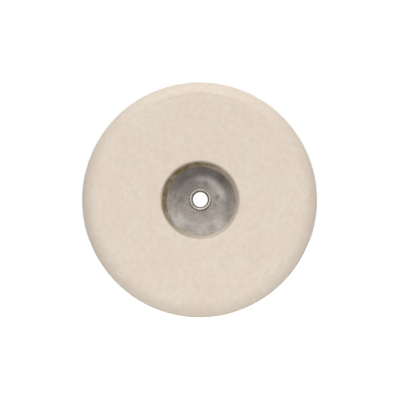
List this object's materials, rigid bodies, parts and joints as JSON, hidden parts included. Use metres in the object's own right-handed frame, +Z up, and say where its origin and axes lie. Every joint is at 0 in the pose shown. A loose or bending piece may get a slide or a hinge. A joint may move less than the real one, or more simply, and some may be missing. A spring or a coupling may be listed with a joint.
{
  "type": "felt polishing wheel",
  "caption": "Thick round felt wheel with softened rims and a dished steel hub plate sunk in a central recess, joined through by a rolled steel sleeve that takes a plain arbor.",
  "frame": {"origin": "centre of the wheel, on its axis and half way through its width", "axes": "+Y along the axis from the recessed working face to the back, +Z up; the wheel turns about Y"},
  "size_m": [0.2032, 0.0382, 0.2032],
  "materials": {
    "felt": "hard pressed wool felt, fine fuzzy nap",
    "plate_steel": "dull tarnished plating, mottled",
    "sleeve_steel": "plated, brightened on the rolled lip"
  },
  "bodies": {
    "root": {"felt_body": "felt", "front_hub_plate": "plate_steel", "rear_hub_plate": "plate_steel", "arbor_sleeve": "sleeve_steel"}
  },
  "joints": []
}
